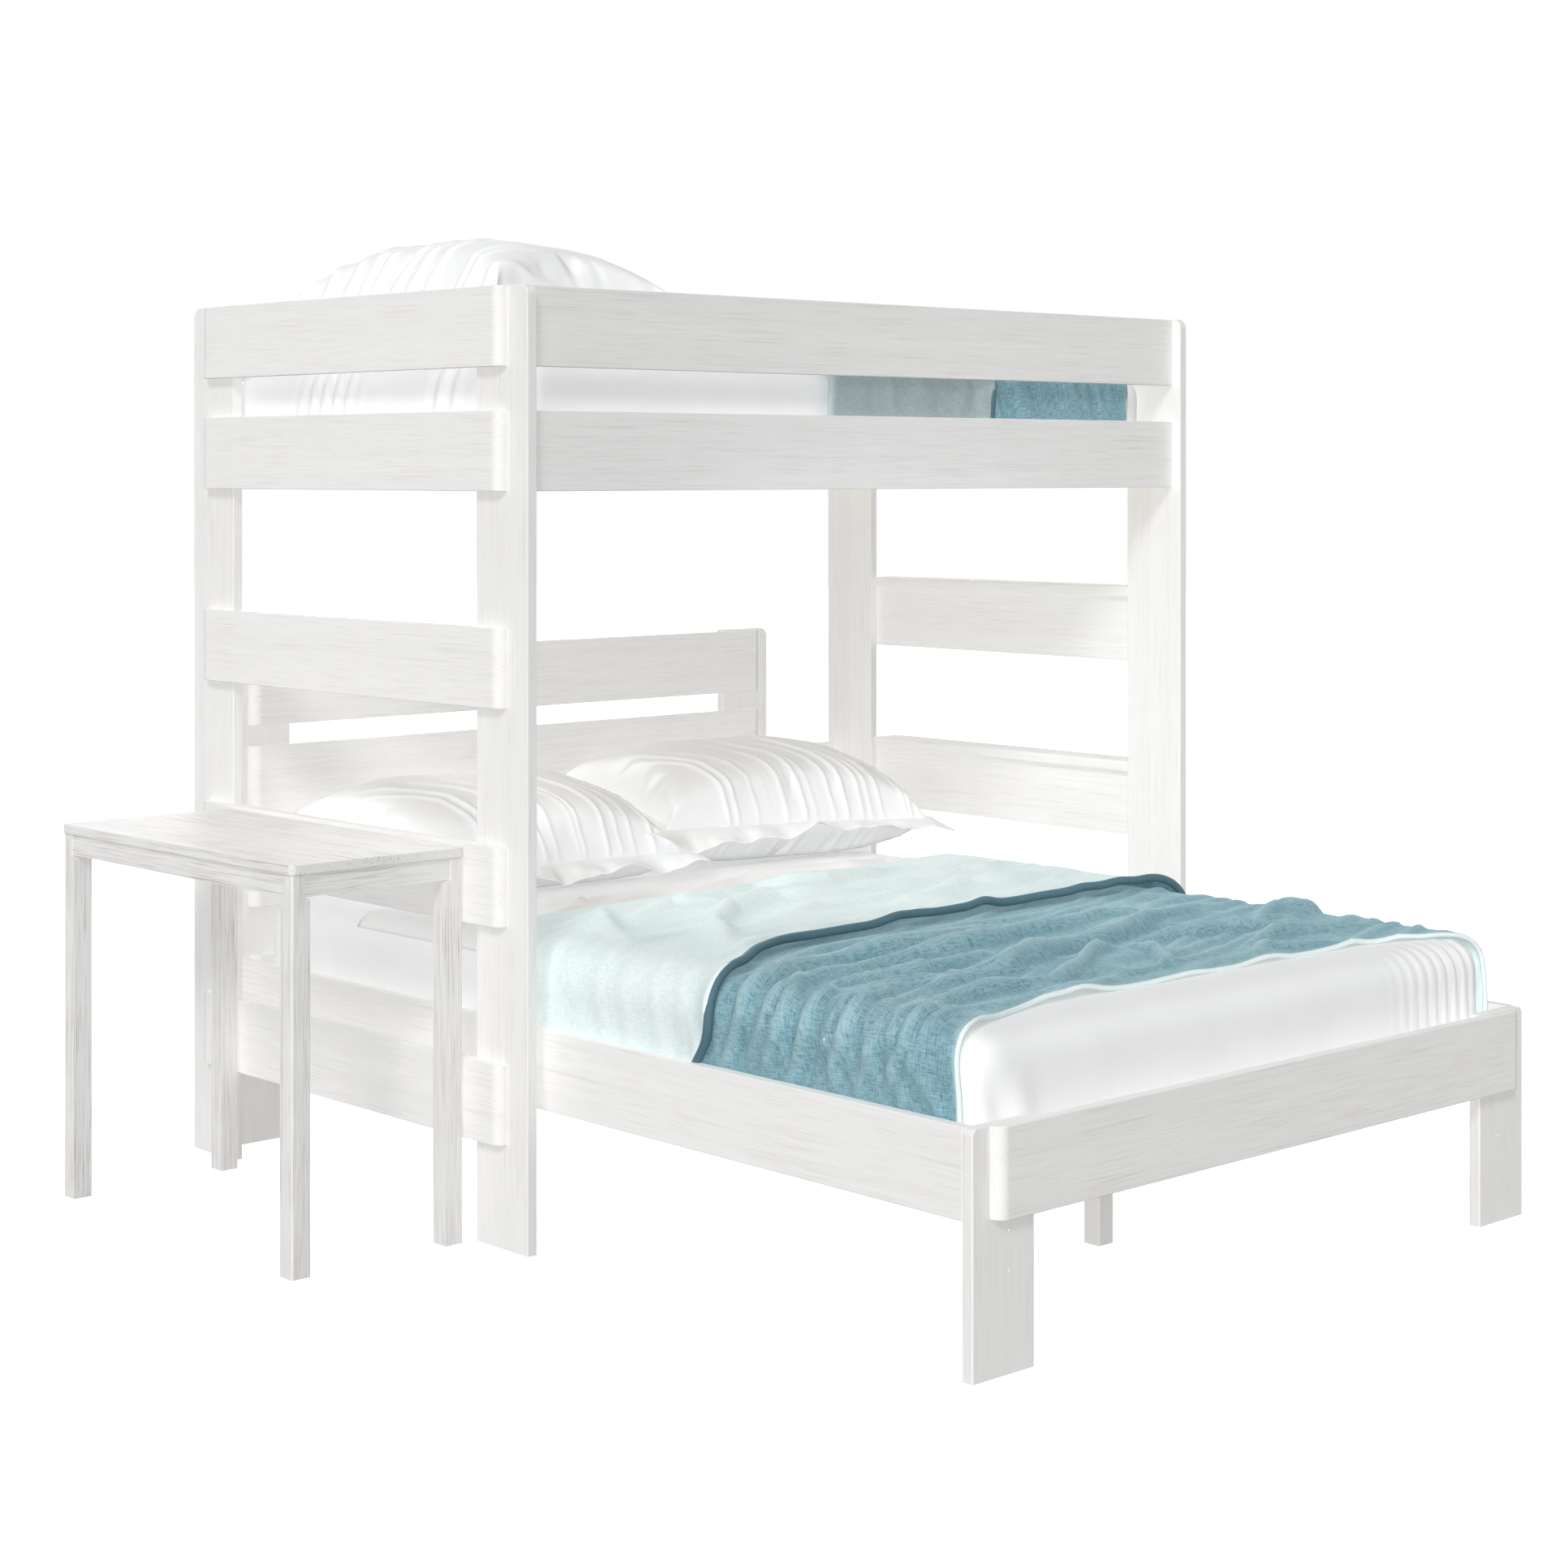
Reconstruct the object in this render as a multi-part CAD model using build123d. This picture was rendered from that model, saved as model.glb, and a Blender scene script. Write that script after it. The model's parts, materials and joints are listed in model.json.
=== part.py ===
from build123d import *
import os

# L-shaped loft bed: a raised twin bed on four board posts, a queen platform bed
# that stands crosswise under it, and a narrow free-standing desk at its end.
# Millimetres, +X along the loft bed towards its ladder, +Y towards the headboard
# of the lower bed, +Z up. The origin is the bottom centre of the bounding box.

# ---- boards ----
T = 22.0                 # thickness of every board
W = 150.0                # width of every post and rail
END_ROUND = 20.0         # quarter round on the outer end edges of a lapped rail
TOP_ROUND = 20.0         # outer top corner of a post
EASE = 1.5               # eased edges

# ---- loft bed ----
LOFT_LENGTH = 1959.0     # over the outer faces of the posts
LOFT_DEPTH = 1112.0      # over the outer edges of the posts
POST_HEIGHT = 1791.0
END_INSET = 59.5         # end rails stop short of the posts' outer edges
RUNG_LEVELS = [195.0, 599.0, 1004.0]   # lower edges of the three end rails
SIDE_LEVEL = 1408.0      # lower edge of the rails that carry the mattress
GUARD_LEVEL = 1640.0     # lower edge of the guard rails
RAIL_SETBACK = 21.5      # long rails sit back from the posts' outer edges
TREAD_DEPTH = 90.0
TREAD_GAP = 4.0          # between a tread's end and a post
TREAD_OUT = 75.0         # tread's outer edge beyond the posts' outer faces
SLAT_T = 15.0
LEDGER_T = 20.0
SLAT_W = 70.0
LOFT_SLATS = 13

# ---- lower bed ----
BED_WIDTH = 1604.0       # over the side rails
BED_OFFSET = 66.5        # lower bed's left side inward of the loft's left side
FOOT_REACH = 1017.0      # foot posts' front faces, out from the loft's front edge
HEAD_FACE = 1066.0       # head posts' front faces, in from the loft's front edge
FOOT_HEIGHT = 405.0
HEAD_HEIGHT = 1052.0
LAP_INSET = 42.0         # foot rail and head planks stop short of the bed's sides
PLANK_LEVELS = [509.0, 704.0, 899.0]
BED_SLATS = 12
LEG_X, LEG_Y = 40.0, 36.0
BEAM_H, BEAM_INSET = 45.0, 165.0
LEDGER_END, SLAT_END = 40.0, 45.0      # the side ledgers and the slats stop short of the bed's ends
PILOT_REACH = 87.0       # pilot holes in the foot posts, in from the bed's sides
LEG_PLACES = [-615.0, 35.0, 685.0]     # along the centre beam, from the loft's front edge

# ---- desk ----
DESK_OUT = 424.0         # desk's outer edge beyond the loft's left side
DESK_GAP = 5.0           # between the desk top and the loft's end rails
DESK_FRONT = 149.0       # desk's front edge, in from the loft's front edge
DESK_LENGTH = 794.0
DESK_HEIGHT = 742.0
TOP_T = 19.0
DESK_LEG_X, DESK_LEG_Y = 40.0, 38.0
DESK_OVERHANG = 4.0
APRON_H, APRON_T, APRON_RECESS = 41.0, 18.0, 3.0
SHOULDER = 12.0          # legs are narrower behind the aprons
BLOCK_REACH = 40.0       # corner blocks along each apron

# ---- bedding ----
TWIN = (1905.0, 990.0, 220.0)
QUEEN = (2032.0, 1524.0, 250.0)
LOFT_PILLOW, LOFT_PILLOW_AT = (565.0, 750.0, 228.0), (50.0, 165.0)
BED_PILLOW, BED_PILLOW_PLACES = (765.0, 480.0, 235.0), (-720.0, 55.0)
PILLOW_GAP = 10.0        # between the pillows and the head planks
BLANKET_T, BLANKET_MARGIN = 12.0, 45.0

# ---- fasteners ----
BOLT_R, BOLT_HOLE_R, HEAD_R, HEAD_T, BOLT_BITE = 3.0, 3.3, 6.5, 2.4, 14.0
BRACKET_LEG, BRACKET_T, BRACKET_H = 30.0, 2.5, 90.0

# ---- places that follow from the sizes ----
XL = -(DESK_OUT + LOFT_LENGTH + TREAD_OUT) / 2 + DESK_OUT   # loft's left outer face
XR = XL + LOFT_LENGTH                                       # loft's right outer face
YB = (FOOT_REACH + T + LOFT_DEPTH) / 2                      # loft's back edge
YF = YB - LOFT_DEPTH                                        # loft's front edge
FRONT_RAIL = YF + RAIL_SETBACK                              # front rails' front faces
BACK_RAIL = YB - RAIL_SETBACK - T                           # back rails' front faces
LOW_BACK = YB - T                                           # low back rail's front face
MID_LOFT_Y = (YF + YB) / 2

BXL = XL + BED_OFFSET
BXR = BXL + BED_WIDTH
FOOT_Y = YF - FOOT_REACH
HEAD_Y = YF + HEAD_FACE
MID_BED_X = (BXL + BXR) / 2
PLANK_Y = HEAD_Y - T
RAIL_Z = FOOT_HEIGHT - W
BEAM_X = MID_BED_X - (T + LEG_X) / 2

LOFT_LEDGER_Z = SIDE_LEVEL + 3.0
LOFT_SLAT_Z = LOFT_LEDGER_Z + LEDGER_T
LOFT_MATTRESS_Z = LOFT_SLAT_Z + SLAT_T
BED_SLAT_Z = RAIL_Z + LEDGER_T
BED_MATTRESS_Z = BED_SLAT_Z + SLAT_T
BED_TOP = BED_MATTRESS_Z + QUEEN[2]
LOFT_TOP = LOFT_MATTRESS_Z + TWIN[2]
MATTRESS_FOOT = PLANK_Y - 2.0 - QUEEN[0]

DXL = XL - DESK_OUT
DXR = XL - T - DESK_GAP
DYF = YF + DESK_FRONT
DYB = DYF + DESK_LENGTH
UNDER_TOP = DESK_HEIGHT - TOP_T

PARTS = {}


def slab(x0, x1, y0, y1, z0, z1):
    """Plain box between two corners."""
    box = Box(x1 - x0, y1 - y0, z1 - z0, align=(Align.MIN, Align.MIN, Align.MIN))
    return box.moved(Location((x0, y0, z0)))


def board(x0, x1, y0, y1, z0, z1, ease=EASE):
    """Box with every edge eased."""
    box = slab(x0, x1, y0, y1, z0, z1)
    return fillet(box.edges(), ease)


def edges_at(solid, along, across, place):
    """Edges along one axis whose centre lies at a place on another axis."""
    found = []
    for edge in solid.edges().filter_by(along):
        middle = edge.center()
        at = {Axis.X: middle.X, Axis.Y: middle.Y, Axis.Z: middle.Z}[across]
        if abs(at - place) < 0.01:
            found.append(edge)
    return found


def lapped_along_y(outer_x, inner_x, y0, y1, z0):
    """Rail along Y whose end edges are rounded on the side away from its post."""
    rail = slab(min(outer_x, inner_x), max(outer_x, inner_x), y0, y1, z0, z0 + W)
    rail = fillet(edges_at(rail, Axis.Z, Axis.X, outer_x), END_ROUND)
    flats = rail.faces().filter_by(Plane.XY)
    return fillet(flats.edges(), EASE)


def lapped_along_x(outer_y, inner_y, x0, x1, z0):
    """Rail along X whose end edges are rounded on the side away from its post."""
    rail = slab(x0, x1, min(outer_y, inner_y), max(outer_y, inner_y), z0, z0 + W)
    rail = fillet(edges_at(rail, Axis.Z, Axis.Y, outer_y), END_ROUND)
    flats = rail.faces().filter_by(Plane.XY)
    return fillet(flats.edges(), EASE)


def bolt(point, direction):
    """Flat-headed bolt whose head bears on a face at point and whose shank runs along direction."""
    plane = Plane(origin=point, z_dir=direction)
    head = Cylinder(HEAD_R, HEAD_T, align=(Align.CENTER, Align.CENTER, Align.MAX))
    shank = Cylinder(BOLT_R, T + BOLT_BITE - 0.5, align=(Align.CENTER, Align.CENTER, Align.MIN))
    return plane * (head + shank)


def bolt_hole(point, direction):
    """Clearance hole for one bolt through a post and into the rail behind it."""
    plane = Plane(origin=point, z_dir=direction)
    return plane * Cylinder(BOLT_HOLE_R, T + BOLT_BITE, align=(Align.CENTER, Align.CENTER, Align.MIN))


def drilled(solid, places, direction):
    """Solid with a bolt hole at each place."""
    for place in places:
        solid = solid - bolt_hole(place, direction)
    return solid


def bracket(corner_x, corner_y, z0, way_x, way_y):
    """Steel angle in the inner corner of a post and a rail."""
    along_rail = slab(min(0, way_x * BRACKET_LEG), max(0, way_x * BRACKET_LEG),
                      min(0, way_y * BRACKET_T), max(0, way_y * BRACKET_T), 0, BRACKET_H)
    along_post = slab(min(0, way_x * BRACKET_T), max(0, way_x * BRACKET_T),
                      min(0, way_y * BRACKET_LEG), max(0, way_y * BRACKET_LEG), 0, BRACKET_H)
    return (along_rail + along_post).moved(Location((corner_x, corner_y, z0)))


# ------------------------------------------------------------------ loft bed

def loft_posts():
    for side, outer in (("left", XL), ("right", XR)):
        inward = 1 if side == "left" else -1
        inner = outer + inward * T
        for row, edge in (("front", YF), ("back", YB)):
            into = 1 if row == "front" else -1
            y0, y1 = sorted((edge, edge + into * W))
            post = slab(min(outer, inner), max(outer, inner), y0, y1, 0, POST_HEIGHT)
            top_corner = [e for e in edges_at(post, Axis.X, Axis.Y, edge) if e.center().Z > W]
            post = fillet(top_corner, TOP_ROUND)
            post = fillet(post.edges().filter_by(Axis.Z), EASE)
            holes = [p for p in END_BOLTS[side] if y0 < p[1] < y1]
            PARTS[f"loft_post_{row}_{side}"] = drilled(post, holes, END_BOLT_WAY)


def end_bolt_places(side):
    """Two bolt heads at each end of each end rail: inside the left posts, and outside the right rails."""
    head_face = XL + T if side == "left" else XR + T
    levels = RUNG_LEVELS + [SIDE_LEVEL] + ([GUARD_LEVEL] if side == "left" else [])
    places = []
    for level in levels:
        for y in (YF + END_INSET + 45, YB - END_INSET - 45):
            for up in (0.27 * W, 0.73 * W):
                places.append((head_face, y, level + up))
    return places


END_BOLTS = {side: end_bolt_places(side) for side in ("left", "right")}
END_BOLT_WAY = (-1, 0, 0)


def end_rails():
    y0, y1 = YF + END_INSET, YB - END_INSET
    left_levels = RUNG_LEVELS + [SIDE_LEVEL, GUARD_LEVEL]
    for number, level in enumerate(left_levels, start=1):
        rail = lapped_along_y(XL - T, XL, y0, y1, level)
        PARTS[f"left_end_rail_{number}"] = drilled(rail, END_BOLTS["left"], END_BOLT_WAY)
    for number, level in enumerate(left_levels[:4], start=1):
        rail = lapped_along_y(XR + T, XR, y0, y1, level)
        PARTS[f"right_end_rail_{number}"] = drilled(rail, END_BOLTS["right"], END_BOLT_WAY)


def ladder_treads():
    for number, level in enumerate(RUNG_LEVELS, start=1):
        tread = slab(XR + TREAD_OUT - TREAD_DEPTH, XR + TREAD_OUT,
                     YF + W + TREAD_GAP, YB - W - TREAD_GAP, level + W, level + W + T)
        long_edges = [e for e in tread.edges().filter_by(Axis.Y) if e.center().Z > level + W + 1]
        tread = fillet(long_edges, 6)
        tread = fillet(tread.edges().filter_by(Axis.Z), 3)
        PARTS[f"ladder_tread_{number}"] = tread


def long_rails():
    x0, x1 = XL + T, XR - T
    rows = [("front_side_rail", FRONT_RAIL, SIDE_LEVEL), ("front_guard_rail", FRONT_RAIL, GUARD_LEVEL),
            ("back_side_rail", BACK_RAIL, SIDE_LEVEL), ("back_guard_rail", BACK_RAIL, GUARD_LEVEL),
            ("back_low_rail", LOW_BACK, RUNG_LEVELS[1])]
    for name, y, level in rows:
        PARTS[name] = board(x0, x1, y, y + T, level, level + W)


def loft_base():
    inset = 40.0
    x0, x1 = XL + T + inset, XR - T - inset
    front = slab(x0, x1, FRONT_RAIL + T, FRONT_RAIL + T + LEDGER_T, LOFT_LEDGER_Z, LOFT_SLAT_Z)
    back = slab(x0, x1, BACK_RAIL - LEDGER_T, BACK_RAIL, LOFT_LEDGER_Z, LOFT_SLAT_Z)
    PARTS["loft_ledgers"] = Compound(children=[front, back])
    y0, y1 = FRONT_RAIL + T + 2, BACK_RAIL - 2
    pitch = (x1 - x0 - SLAT_W) / (LOFT_SLATS - 1)
    slats = [board(x0 + i * pitch, x0 + i * pitch + SLAT_W, y0, y1, LOFT_SLAT_Z, LOFT_MATTRESS_Z)
             for i in range(LOFT_SLATS)]
    PARTS["loft_slats"] = Compound(children=slats)


def loft_fasteners():
    bolts = [bolt(p, END_BOLT_WAY) for p in END_BOLTS["left"] + END_BOLTS["right"]]
    PARTS["loft_bolts"] = Compound(children=bolts)
    brackets = []
    for level in (SIDE_LEVEL + W - BRACKET_H - 4, GUARD_LEVEL + (W - BRACKET_H) / 2):
        for corner_x, way_x in ((XL + T, 1), (XR - T, -1)):
            brackets.append(bracket(corner_x, FRONT_RAIL + T, level, way_x, 1))
            brackets.append(bracket(corner_x, BACK_RAIL, level, way_x, -1))
    for corner_x, way_x in ((XL + T, 1), (XR - T, -1)):
        low = RUNG_LEVELS[1] + 4
        brackets.append(bracket(corner_x, LOW_BACK, low, way_x, -1))
    PARTS["loft_brackets"] = Compound(children=brackets)


# ------------------------------------------------------------------ lower bed

def foot_bolt_places():
    """Heads on the foot posts' back faces, two to each end of the foot rail."""
    return [(x, FOOT_Y + T, RAIL_Z + up) for x in (BXL + LAP_INSET + 45, BXR - LAP_INSET - 45)
            for up in (0.27 * W, 0.73 * W)]


def head_bolt_places():
    """Heads on the head posts' back faces, clear of the loft's low back rail."""
    heights = [RAIL_Z + 0.27 * W, RAIL_Z + 0.73 * W]
    heights += [PLANK_LEVELS[0] + 25, PLANK_LEVELS[0] + 65]
    heights += [PLANK_LEVELS[1] + 75, PLANK_LEVELS[1] + 120]
    heights += [PLANK_LEVELS[2] + 0.27 * W, PLANK_LEVELS[2] + 0.73 * W]
    return [(x, HEAD_Y + T, z) for x in (BXL + LAP_INSET + 45, BXR - LAP_INSET - 45) for z in heights]


def foot_end():
    pilot_drop = (24.0, 88.0)        # small empty screw holes under the foot rail
    for side, outer, way in (("left", BXL, 1), ("right", BXR, -1)):
        x0, x1 = sorted((outer, outer + way * W))
        post = slab(x0, x1, FOOT_Y, FOOT_Y + T, 0, FOOT_HEIGHT)
        corner = [e for e in edges_at(post, Axis.Y, Axis.X, outer) if e.center().Z > W]
        post = fillet(corner, 12)
        post = fillet(post.edges().filter_by(Axis.Z), 3)
        post = drilled(post, [p for p in foot_bolt_places() if x0 < p[0] < x1], (0, -1, 0))
        for drop in pilot_drop:
            mouth = Plane(origin=(outer + way * PILOT_REACH, FOOT_Y, RAIL_Z - drop), z_dir=(0, 1, 0))
            post = post - mouth * Cylinder(2.2, 8, align=(Align.CENTER, Align.CENTER, Align.MIN))
        PARTS[f"foot_post_{side}"] = post
    rail = lapped_along_x(FOOT_Y - T, FOOT_Y, BXL + LAP_INSET, BXR - LAP_INSET, RAIL_Z)
    PARTS["foot_rail"] = drilled(rail, foot_bolt_places(), (0, -1, 0))


def head_end():
    for side, outer, way in (("left", BXL, 1), ("right", BXR, -1)):
        x0, x1 = sorted((outer, outer + way * W))
        post = slab(x0, x1, HEAD_Y, HEAD_Y + T, 0, HEAD_HEIGHT)
        corner = [e for e in edges_at(post, Axis.Y, Axis.X, outer) if e.center().Z > W]
        post = fillet(corner, TOP_ROUND)
        post = fillet(post.edges().filter_by(Axis.Z), EASE)
        holes = [p for p in head_bolt_places() if x0 < p[0] < x1]
        PARTS[f"head_post_{side}"] = drilled(post, holes, (0, -1, 0))
    names = ["head_rail", "head_plank_1", "head_plank_2", "head_plank_3"]
    for name, level in zip(names, [RAIL_Z] + PLANK_LEVELS):
        plank = lapped_along_x(PLANK_Y, HEAD_Y, BXL + LAP_INSET, BXR - LAP_INSET, level)
        PARTS[name] = drilled(plank, head_bolt_places(), (0, -1, 0))


def bed_sides():
    for side, outer, way in (("left", BXL, 1), ("right", BXR, -1)):
        x0, x1 = sorted((outer, outer + way * T))
        PARTS[f"bed_side_rail_{side}"] = board(x0, x1, FOOT_Y + T, HEAD_Y, RAIL_Z, FOOT_HEIGHT)
    ledgers = []
    for face, way in ((BXL + T, 1), (BXR - T, -1)):
        x0, x1 = sorted((face, face + way * LEDGER_T))
        ledgers.append(slab(x0, x1, FOOT_Y + T + LEDGER_END, PLANK_Y - LEDGER_END, RAIL_Z, BED_SLAT_Z))
    PARTS["bed_ledgers"] = Compound(children=ledgers)


def bed_middle():
    beam_foot = FOOT_Y + BEAM_INSET
    PARTS["center_beam"] = board(BEAM_X, BEAM_X + T, beam_foot, PLANK_Y, BED_SLAT_Z - BEAM_H, BED_SLAT_Z)
    legs = [board(BEAM_X + T, BEAM_X + T + LEG_X, YF + y - LEG_Y / 2, YF + y + LEG_Y / 2, 0, BED_SLAT_Z - 5)
            for y in LEG_PLACES]
    PARTS["support_legs"] = Compound(children=legs)
    y0, y1 = FOOT_Y + T + SLAT_END, PLANK_Y - SLAT_END
    pitch = (y1 - y0 - SLAT_W) / (BED_SLATS - 1)
    x0, x1 = BXL + T + 3, BXR - T - 3
    slats = [board(x0, x1, y0 + i * pitch, y0 + i * pitch + SLAT_W, BED_SLAT_Z, BED_MATTRESS_Z)
             for i in range(BED_SLATS)]
    PARTS["bed_slats"] = Compound(children=slats)


def bed_fasteners():
    bolts = [bolt(p, (0, -1, 0)) for p in foot_bolt_places() + head_bolt_places()]
    PARTS["bed_bolts"] = Compound(children=bolts)
    level = BED_MATTRESS_Z + 8
    foot = [bracket(BXL + T, FOOT_Y + T, level, 1, 1), bracket(BXR - T, FOOT_Y + T, level, -1, 1)]
    head = [bracket(BXL + T, HEAD_Y, level, 1, -1), bracket(BXR - T, HEAD_Y, level, -1, -1)]
    PARTS["bed_brackets"] = Compound(children=foot + trimmed_head(head))


def trimmed_head(brackets):
    """Head brackets are narrow, because the head rail starts beside them."""
    keep = slab(BXL, BXL + LAP_INSET - 1, PLANK_Y - 50, HEAD_Y, 0, HEAD_HEIGHT)
    keep_right = slab(BXR - LAP_INSET + 1, BXR, PLANK_Y - 50, HEAD_Y, 0, HEAD_HEIGHT)
    return [brackets[0] & keep, brackets[1] & keep_right]


# ------------------------------------------------------------------ desk

def desk_top():
    top = slab(DXL, DXR, DYF, DYB, UNDER_TOP, DESK_HEIGHT)
    top = fillet(top.edges().filter_by(Axis.Z), 12)
    PARTS["desk_top"] = fillet(top.faces().filter_by(Plane.XY).edges(), 2)


def desk_legs():
    apron_z = UNDER_TOP - APRON_H
    for row, outer_y, way_y in (("front", DYF + DESK_OVERHANG, 1), ("back", DYB - DESK_OVERHANG, -1)):
        for side, outer_x, way_x in (("left", DXL + DESK_OVERHANG, 1), ("right", DXR - DESK_OVERHANG, -1)):
            inner_x = outer_x + way_x * DESK_LEG_X
            inner_y = outer_y + way_y * DESK_LEG_Y
            xs, ys = sorted((outer_x, inner_x)), sorted((outer_y, inner_y))
            shaft = slab(*xs, *ys, 0, apron_z)
            rims = [e for e in edges_at(shaft, Axis.Y, Axis.X, inner_x) if e.center().Z > W]
            rims += [e for e in edges_at(shaft, Axis.X, Axis.Y, inner_y) if e.center().Z > W]
            shaft = fillet(rims, SHOULDER)
            xs = sorted((outer_x, inner_x - way_x * SHOULDER))
            ys = sorted((outer_y, inner_y - way_y * SHOULDER))
            neck = slab(*xs, *ys, apron_z - SHOULDER, UNDER_TOP)
            leg = shaft + neck
            outer_edges = edges_at(leg, Axis.Z, Axis.X, outer_x)
            corner = [e for e in outer_edges if abs(e.center().Y - outer_y) < 0.01]
            PARTS[f"desk_leg_{row}_{side}"] = fillet(corner, 4)


def desk_aprons():
    z0, z1 = UNDER_TOP - APRON_H, UNDER_TOP
    x_out, x_in = DESK_OVERHANG + APRON_RECESS, DESK_OVERHANG + DESK_LEG_X - SHOULDER
    y_out, y_in = DESK_OVERHANG + APRON_RECESS, DESK_OVERHANG + DESK_LEG_Y - SHOULDER
    PARTS["desk_apron_left"] = slab(DXL + x_out, DXL + x_out + APRON_T, DYF + y_in, DYB - y_in, z0, z1)
    PARTS["desk_apron_right"] = slab(DXR - x_out - APRON_T, DXR - x_out, DYF + y_in, DYB - y_in, z0, z1)
    PARTS["desk_apron_front"] = slab(DXL + x_in, DXR - x_in, DYF + y_out, DYF + y_out + APRON_T, z0, z1)
    PARTS["desk_apron_back"] = slab(DXL + x_in, DXR - x_in, DYB - y_out - APRON_T, DYB - y_out, z0, z1)
    blocks = []
    face_x, face_y = x_out + APRON_T, y_out + APRON_T
    for corner_x, way_x in ((DXL, 1), (DXR, -1)):
        for corner_y, way_y in ((DYF, 1), (DYB, -1)):
            outline = [(face_x, y_in), (x_in, y_in), (x_in, face_y),
                       (face_x + BLOCK_REACH, face_y), (face_x, face_y + BLOCK_REACH)]
            points = [(corner_x + way_x * u, corner_y + way_y * v) for u, v in outline]
            with BuildSketch(Plane.XY.offset(z0 + 6)) as sketch:
                with BuildLine():
                    Polyline(*points, close=True)
                make_face()
            blocks.append(extrude(sketch.sketch, amount=APRON_H - 6))
    PARTS["desk_corner_blocks"] = Compound(children=blocks)


# ------------------------------------------------------------------ bedding

def cushion(x0, x1, y0, y1, z0, z1, side, top):
    """Soft block with rounded upright and top edges and a flat underside."""
    block = slab(x0, x1, y0, y1, z0, z1)
    block = fillet(block.edges().filter_by(Axis.Z), side)
    return fillet(block.faces().sort_by(Axis.Z)[-1].edges(), top)


def mattresses():
    mid_x = (XL + XR) / 2
    PARTS["loft_mattress"] = cushion(mid_x - TWIN[0] / 2, mid_x + TWIN[0] / 2, MID_LOFT_Y - TWIN[1] / 2,
                                     MID_LOFT_Y + TWIN[1] / 2, LOFT_MATTRESS_Z, LOFT_TOP, 60, 35)
    PARTS["bed_mattress"] = cushion(MID_BED_X - QUEEN[1] / 2, MID_BED_X + QUEEN[1] / 2, MATTRESS_FOOT,
                                    MATTRESS_FOOT + QUEEN[0], BED_MATTRESS_Z, BED_TOP, 60, 40)


def pillows():
    x0, y0 = XL + LOFT_PILLOW_AT[0], YF + LOFT_PILLOW_AT[1]
    depth, width, height = LOFT_PILLOW
    PARTS["loft_pillow"] = cushion(x0, x0 + depth, y0, y0 + width, LOFT_TOP, LOFT_TOP + height, 90, 90)
    width, depth, height = BED_PILLOW
    y1 = PLANK_Y - PILLOW_GAP
    for side, x0 in zip(("left", "right"), BED_PILLOW_PLACES):
        PARTS[f"bed_pillow_{side}"] = cushion(MID_BED_X + x0, MID_BED_X + x0 + width, y1 - depth, y1,
                                              BED_TOP, BED_TOP + height, 90, 85)


def blankets():
    half_bed, half_loft = QUEEN[1] / 2 - BLANKET_MARGIN, TWIN[1] / 2 - BLANKET_MARGIN
    PARTS["bed_blanket"] = slab(MID_BED_X - half_bed, MID_BED_X + half_bed, YF - 880, YF + 300,
                                BED_TOP, BED_TOP + BLANKET_T)
    PARTS["loft_blanket"] = slab(XL + 900, XL + 1840, MID_LOFT_Y - half_loft, MID_LOFT_Y + half_loft,
                                 LOFT_TOP, LOFT_TOP + BLANKET_T)


for build_group in (loft_posts, end_rails, ladder_treads, long_rails, loft_base, loft_fasteners,
                    foot_end, head_end, bed_sides, bed_middle, bed_fasteners,
                    desk_top, desk_legs, desk_aprons, mattresses, pillows, blankets):
    build_group()

os.makedirs("parts", exist_ok=True)
for node, shape in PARTS.items():
    export_step(shape, f"parts/{node}.step")
print(len(PARTS), "nodes")
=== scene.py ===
import json
import math

import bmesh
import bpy
import numpy as np
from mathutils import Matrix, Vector, noise


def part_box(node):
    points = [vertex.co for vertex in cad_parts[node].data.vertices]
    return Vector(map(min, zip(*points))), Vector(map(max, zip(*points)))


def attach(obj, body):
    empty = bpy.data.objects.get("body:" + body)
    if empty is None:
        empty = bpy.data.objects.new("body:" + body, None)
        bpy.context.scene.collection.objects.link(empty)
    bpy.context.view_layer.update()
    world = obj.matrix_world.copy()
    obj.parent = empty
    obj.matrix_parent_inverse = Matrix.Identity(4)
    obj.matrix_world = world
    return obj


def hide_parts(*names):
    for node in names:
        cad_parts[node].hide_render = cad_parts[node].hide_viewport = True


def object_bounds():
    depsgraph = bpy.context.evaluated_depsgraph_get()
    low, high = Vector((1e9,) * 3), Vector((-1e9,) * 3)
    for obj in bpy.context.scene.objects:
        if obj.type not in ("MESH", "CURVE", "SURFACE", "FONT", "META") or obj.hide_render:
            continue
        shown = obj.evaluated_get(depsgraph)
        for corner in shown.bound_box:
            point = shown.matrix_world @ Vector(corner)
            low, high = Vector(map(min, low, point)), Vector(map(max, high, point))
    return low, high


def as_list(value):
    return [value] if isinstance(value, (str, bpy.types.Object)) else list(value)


# Looks for the L-shaped loft bed with its platform bed and desk: whitewashed wood
# on the CAD boards, and bedding whose shapes and folds are placed by formula and then
# relaxed a little as cloth.
# Metres. The lower bed's head is towards +Y, the loft's head is towards -X.

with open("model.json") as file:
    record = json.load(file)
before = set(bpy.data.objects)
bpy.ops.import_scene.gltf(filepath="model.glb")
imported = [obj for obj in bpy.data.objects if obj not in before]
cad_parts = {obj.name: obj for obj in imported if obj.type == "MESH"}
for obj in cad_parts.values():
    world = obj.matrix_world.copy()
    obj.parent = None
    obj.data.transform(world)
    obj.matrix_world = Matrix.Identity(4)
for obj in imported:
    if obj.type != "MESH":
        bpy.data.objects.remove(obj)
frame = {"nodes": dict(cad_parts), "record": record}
CAD_LOW, CAD_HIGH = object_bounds()

AXES = "xyz"

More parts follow.
